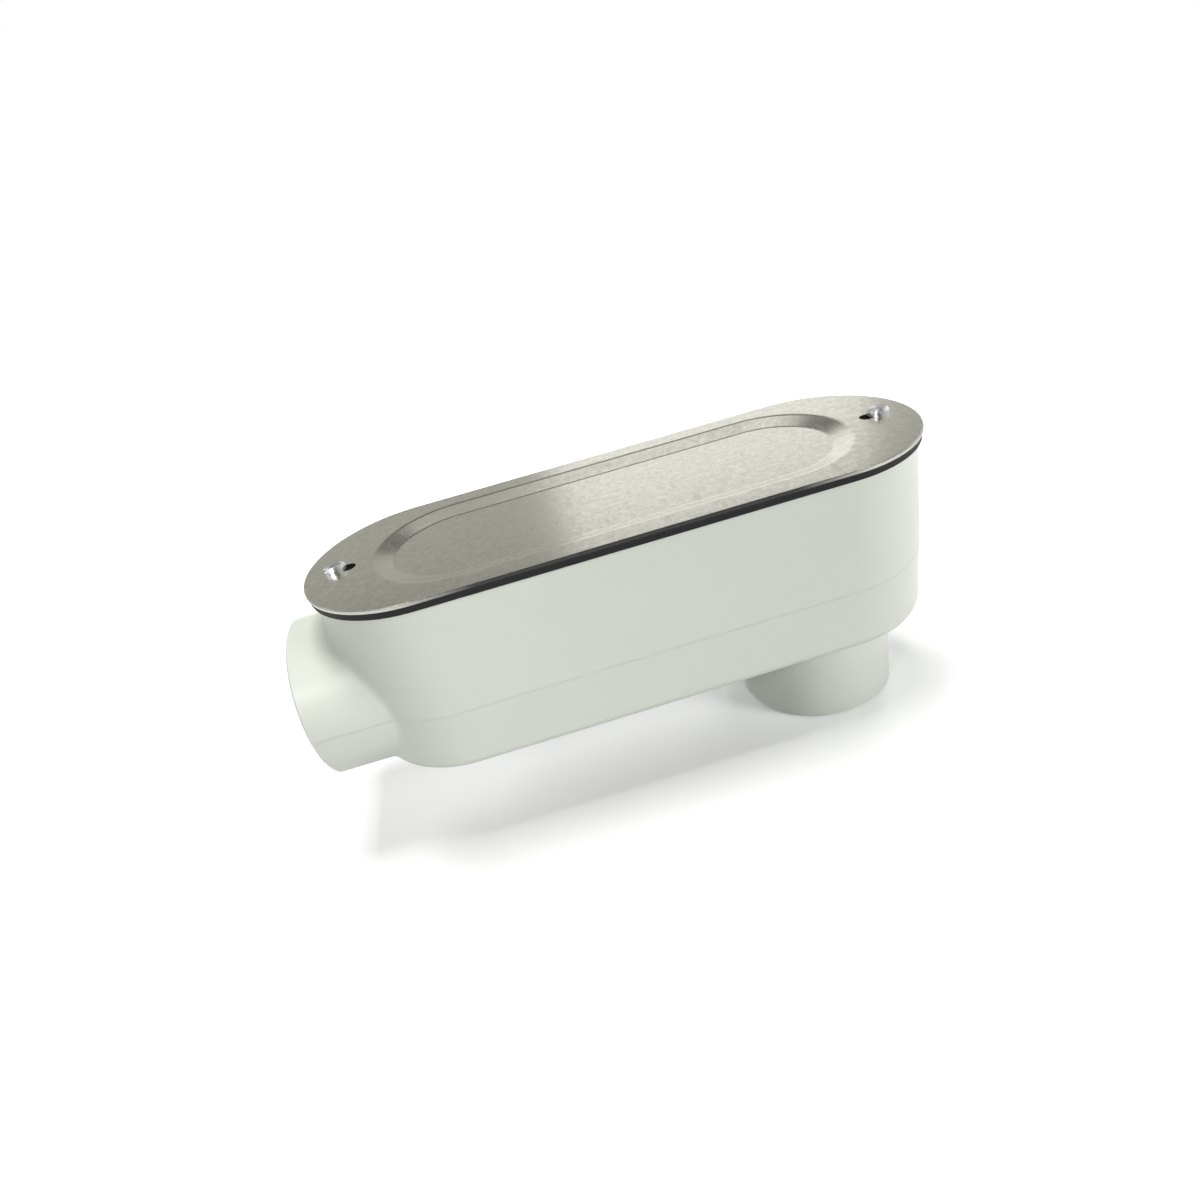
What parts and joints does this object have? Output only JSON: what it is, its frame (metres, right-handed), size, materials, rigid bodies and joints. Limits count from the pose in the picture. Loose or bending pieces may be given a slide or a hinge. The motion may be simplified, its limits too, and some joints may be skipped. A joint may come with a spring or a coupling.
{
  "type": "conduit body",
  "caption": "Long obround die-cast electrical conduit body with a threaded hub on one end and one on its back, and a screwed-down stamped metal cover on a rubber gasket.",
  "frame": {"origin": "on the end hub's axis, where its thread starts just inside the mouth", "axes": "+X from the end hub into the body along its length, +Y across the body, +Z out through the cover; the back hub points along -Z"},
  "size_m": [0.222, 0.073, 0.1017],
  "materials": {
    "casting": "satin",
    "cover": "satin",
    "gasket": "matte",
    "screws": "bright"
  },
  "bodies": {
    "body": {"body_casting": "casting"},
    "cover": {"cover_plate": "cover", "cover_gasket": "gasket"},
    "screw_left": {"cover_screw_left": "screws"},
    "screw_right": {"cover_screw_right": "screws"}
  },
  "joints": [
    {"name": "cover_lift", "type": "slide", "parent": "body", "child": "cover", "axis": [0, 0, 1], "range_m": [0, 0.03]},
    {"name": "screw_left_turn", "type": "hinge", "parent": "cover", "child": "screw_left", "pos_m": [0.0218, 0, 0.0436], "axis": [0, 0, 1], "continuous": true},
    {"name": "screw_right_turn", "type": "hinge", "parent": "cover", "child": "screw_right", "pos_m": [0.2102, 0, 0.0436], "axis": [0, 0, 1], "continuous": true}
  ]
}
